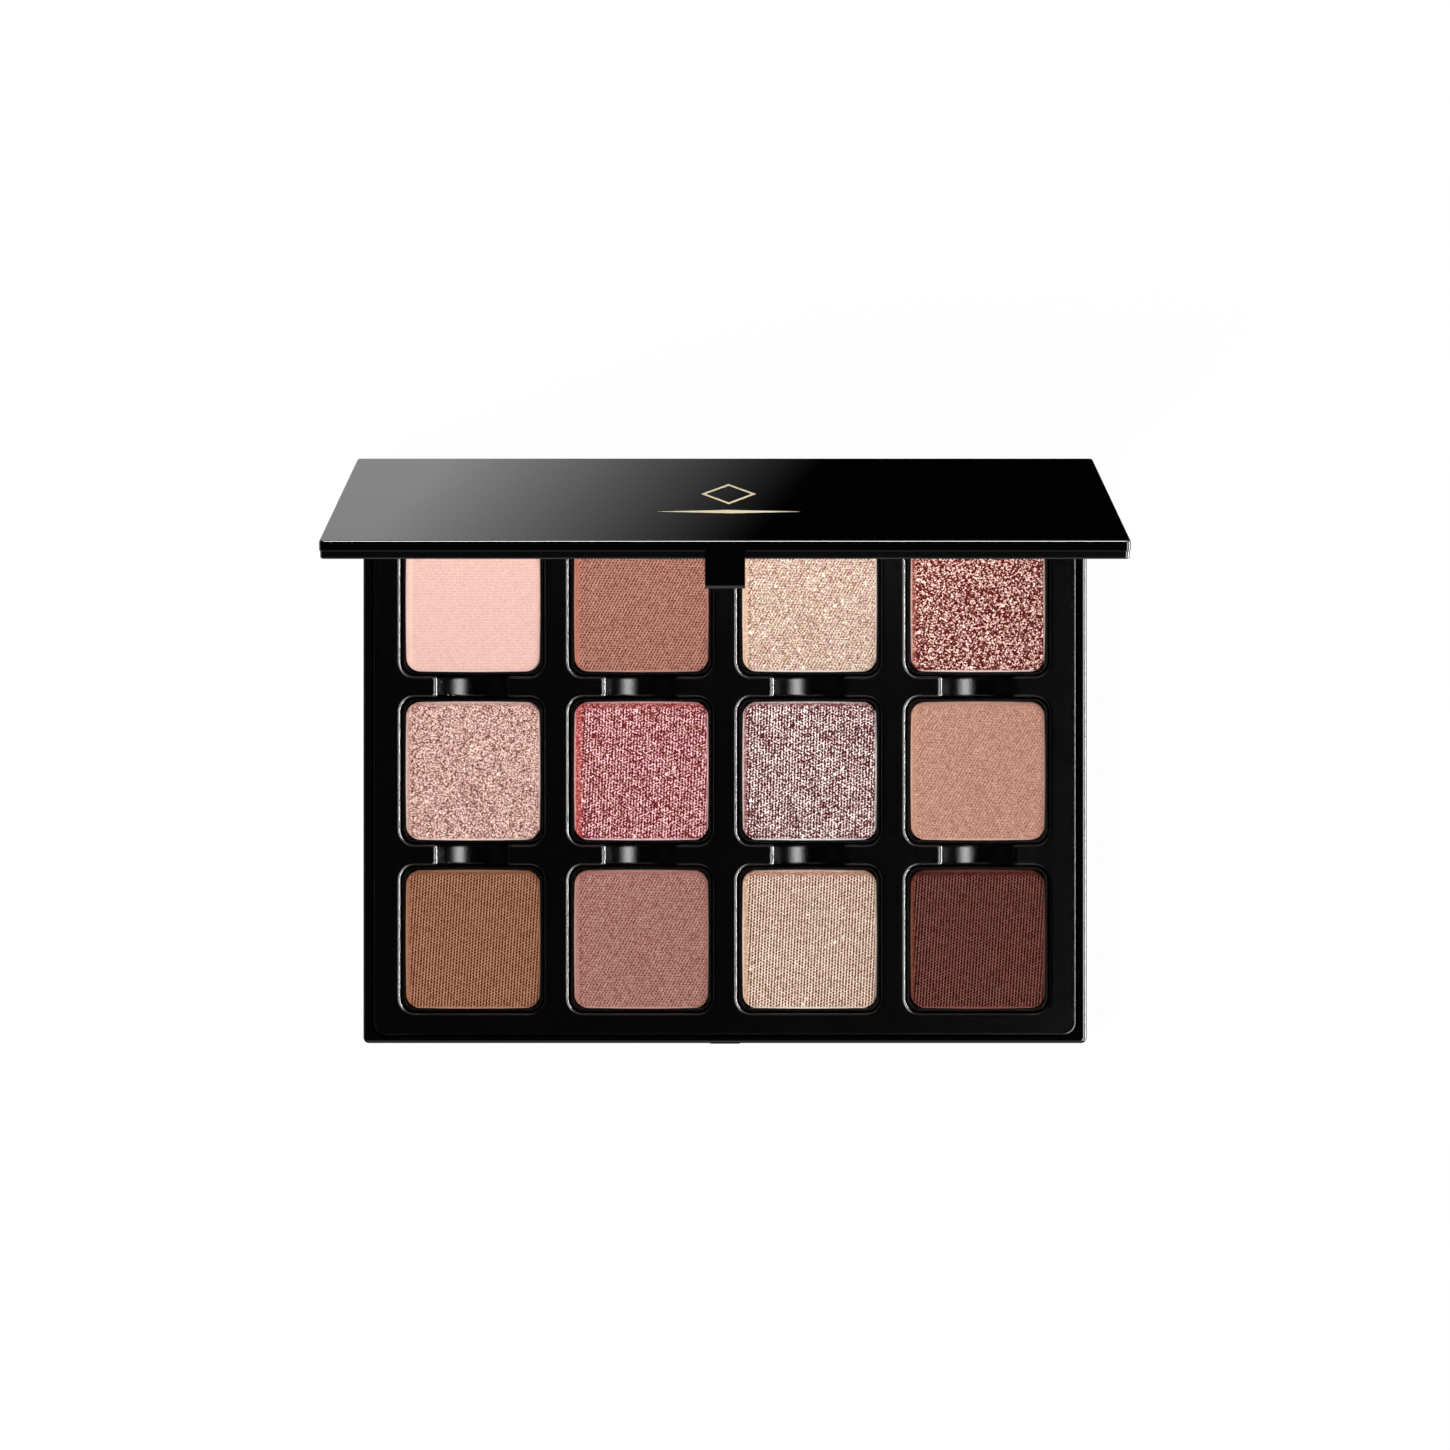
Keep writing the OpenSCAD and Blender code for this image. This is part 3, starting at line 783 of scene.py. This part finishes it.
# %% [markdown]
# The shades run from the back row to the front and from left to right. Matte ones are weave and
# dust alone, satin ones have faint small flakes, and the rest shimmer. The bronze at the end of
# the back row is the coarsest, and takes no weave at all.
# %% The shades
SHADES = {
    "a1": dict(dark=rgb(204, 157, 146), colour=rgb(223, 180, 169), light=rgb(238, 198, 188),
               lit_left_band=rgb(242, 204, 188), shaded_back_band=rgb(220, 170, 156),
               weave=0.5, pitch=0.42, lean=90, dust=0.5),
    "a2": dict(dark=rgb(98, 48, 36), colour=rgb(147, 96, 82), light=rgb(194, 142, 126),
               lit_left_band=rgb(196, 112, 84), shaded_back_band=rgb(134, 78, 64), left=0.75,
               weave=1.4, pitch=0.42, lean=28, grain=0.6, cell=0.16, shimmer=0.4, dust=0.5),
    "a3": dict(dark=rgb(126, 84, 62), colour=rgb(194, 158, 138), light=rgb(246, 228, 214),
               lit_left_band=rgb(240, 196, 158), shaded_back_band=rgb(188, 138, 110), left=0.8, step_shadow=0.15,
               weave=0.8, pitch=0.42, lean=28, grain=1.0, cell=0.14, shimmer=0.8, dust=0.4,
               hue=0.14, glints=1.0),
    "a4": dict(dark=rgb(90, 12, 8), colour=rgb(136, 60, 52), light=rgb(255, 214, 202),
               lit_left_band=rgb(160, 80, 64), shaded_back_band=rgb(104, 42, 36), left=0.8, step_shadow=0.2,
               grain=2.4, cell=0.20, shimmer=0.8, dust=1.0, blotch=0.6, glints=0.8, hue=0.05,
               middle=0.22),
    "b1": dict(dark=rgb(104, 58, 48), colour=rgb(175, 129, 118), light=rgb(246, 212, 200),
               lit_left_band=rgb(200, 156, 142), shaded_back_band=rgb(170, 122, 114), left=0.7, back=0.6,
               step_shadow=0.15, weave=0.3, grain=1.6, cell=0.14, shimmer=0.7, dust=0.7, hue=0.08,
               glints=0.3),
    "b2": dict(dark=rgb(100, 8, 16), colour=rgb(144, 66, 66), light=rgb(250, 196, 196),
               lit_left_band=rgb(196, 76, 64), shaded_back_band=rgb(144, 52, 48), left=1.1, back=0.9,
               step_shadow=0.2, weave=2.0, pitch=0.43, lean=3, grain=1.8, cell=0.18, shimmer=0.7,
               dust=0.7, hue=0.06, glints=0.8, middle=0.28),
    "b3": dict(dark=rgb(80, 18, 24), colour=rgb(134, 88, 84), light=rgb(255, 236, 232),
               lit_left_band=rgb(170, 106, 102), shaded_back_band=rgb(130, 68, 70), left=0.6, back=0.6,
               step_shadow=0.2, weave=2.2, pitch=0.43, lean=2, grain=1.8, cell=0.18, shimmer=0.8,
               dust=0.7, blotch=1.1, hue=0.05, glints=0.7, middle=0.29),
    "b4": dict(dark=rgb(144, 92, 74), colour=rgb(191, 139, 121), light=rgb(230, 183, 165),
               lit_left_band=rgb(200, 146, 124), shaded_back_band=rgb(188, 136, 120), left=0.7, back=0.6,
               weave=0.6, pitch=0.42, lean=30, grain=0.6, cell=0.14, dust=0.5),
    "c1": dict(dark=rgb(72, 22, 0), colour=rgb(122, 74, 50), light=rgb(183, 135, 110),
               lit_left_band=rgb(166, 112, 84), shaded_back_band=rgb(120, 78, 54), left=0.7, back=0.6,
               step_shadow=0.1, weave=2.0, pitch=0.43, lean=4, dust=0.6),
    "c2": dict(dark=rgb(105, 52, 42), colour=rgb(154, 104, 93), light=rgb(202, 155, 145),
               lit_left_band=rgb(184, 131, 120), shaded_back_band=rgb(158, 102, 96), left=0.7, back=0.6,
               step_shadow=0.1, weave=0.9, pitch=0.42, lean=28, grain=0.6, cell=0.14, dust=0.5),
    "c3": dict(dark=rgb(84, 38, 18), colour=rgb(180, 140, 118), light=rgb(252, 230, 212),
               lit_left_band=rgb(222, 176, 146), shaded_back_band=rgb(176, 112, 94), left=0.8, back=0.8,
               step_shadow=0.15, weave=2.1, pitch=0.43, lean=3, grain=0.6, cell=0.15, shimmer=0.7,
               dust=0.55, hue=0.06, glints=0.4),
    "c4": dict(dark=rgb(4, 0, 0), colour=rgb(57, 12, 4), light=rgb(142, 88, 76),
               lit_left_band=rgb(124, 62, 46), shaded_back_band=rgb(80, 32, 22), left=0.5,
               step_shadow=0.1, weave=2.4, pitch=0.43, lean=4, dust=0.7),
}

print("shades:", len(SHADES))

# %% Pressing the cakes
for seat, shade in SHADES.items():
    solid = f"powder_{seat}"
    low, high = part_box(solid)
    centre = ((low[0] + high[0]) / 2, (low[1] + high[1]) / 2)
    material = powder_material(solid, (centre[0] * 1000, centre[1] * 1000), **shade)
    cake = grown(f"cake_{seat}", CAKE_TREE, {
        **CAKE_SIZES, "Bottom": low[2], "Top": high[2],
        "Centre X": centre[0] + CAKE_SHIFT * MM, "Centre Y": centre[1], "Powder": material})
    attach(cake, f"pan_{seat}")
    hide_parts(solid)
print("cakes:", len(SHADES), "faces each:", len(cake.data.polygons))

# %% [markdown]
# ## Foil on the lid
#
# The lid's outside carries a plain ornament in gold foil: a lozenge outline and a tapered rule
# under it. It could be painted by the lid's material, but a plate of its own has a crisper edge.
# Each mark is a closed plate a hundredth of a millimetre thick, drawn flat for the shut lid and
# turned with it. A point of the lid's outside is told by its distance from the middle and from
# the hinge edge.
# %% Lozenge and rule
LID_OPEN = -80
LID_AXIS = (0.0, 39.2, 5.8)
LID_OUTSIDE, LID_BACK = 4.4, 1.8
FOIL, FOIL_ASIDE = 0.012, 0.5


def on_lid(across, down, height):
    """A point on the lid's outside, in metres, from its place in millimetres."""
    turn = Matrix.Rotation(math.radians(LID_OPEN), 4, "X")
    flat = Vector((across + FOIL_ASIDE, LID_BACK - down, LID_OUTSIDE + height))
    return tuple(Matrix.Translation(LID_AXIS) @ turn @ flat * MM)


def lozenge(middle, half_wide, half_tall, hole=None):
    """Corners and faces of a thin plate. The hole, if any, is a share of the plate's size."""
    ways = ((half_wide, 0), (0, -half_tall), (-half_wide, 0), (0, half_tall))
    points = [on_lid(x * size, middle + y * size, height)
              for size in ((1.0, hole) if hole else (1.0,))
              for height in (0.0, FOIL) for x, y in ways]
    faces = []
    for i in range(4):
        j = (i + 1) % 4
        faces.append((i, j, 4 + j, 4 + i))
        if hole:
            faces += [(8 + j, 8 + i, 12 + i, 12 + j), (4 + i, 4 + j, 12 + j, 12 + i),
                      (j, i, 8 + i, 8 + j)]
    if not hole:
        faces += [(3, 2, 1, 0), (4, 5, 6, 7)]
    return points, faces


print("foil plates can be drawn")


# %% Joining and gilding the foil
def foil_piece(name, plates, material):
    points, faces = [], []
    for plate_points, plate_faces in plates:
        faces += [tuple(len(points) + i for i in face) for face in plate_faces]
        points += plate_points
    mesh = bpy.data.meshes.new(name)
    mesh.from_pydata(points, [], faces)
    shaper = bmesh.new()
    shaper.from_mesh(mesh)
    bmesh.ops.recalc_face_normals(shaper, faces=shaper.faces)
    shaper.to_mesh(mesh)
    shaper.free()
    mesh.materials.append(material)
    return new_piece(name, mesh)


def foil_material():
    made, start = new_material("gold_foil")
    foil_wear_and_lit_band = noise(object_space(start), 2.0, detail=3.0)
    principled(start, {
        "Base Color": mix_colour(foil_wear_and_lit_band, (0.96, 0.79, 0.50, 1), (1.0, 0.90, 0.66, 1)),
        "Metallic": 0.8,
        "Roughness": 0.45,
    })
    return made


print("gold foil ready")

# %% Laying the foil
outline = lozenge(middle=38.3, half_wide=3.8, half_tall=10.3, hole=0.84)
rule = lozenge(middle=56.0, half_wide=9.7, half_tall=1.6)
foil = foil_piece("lid_foil", [outline, rule], foil_material())
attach(foil, "lid")
print("foil faces:", len(foil.data.polygons))
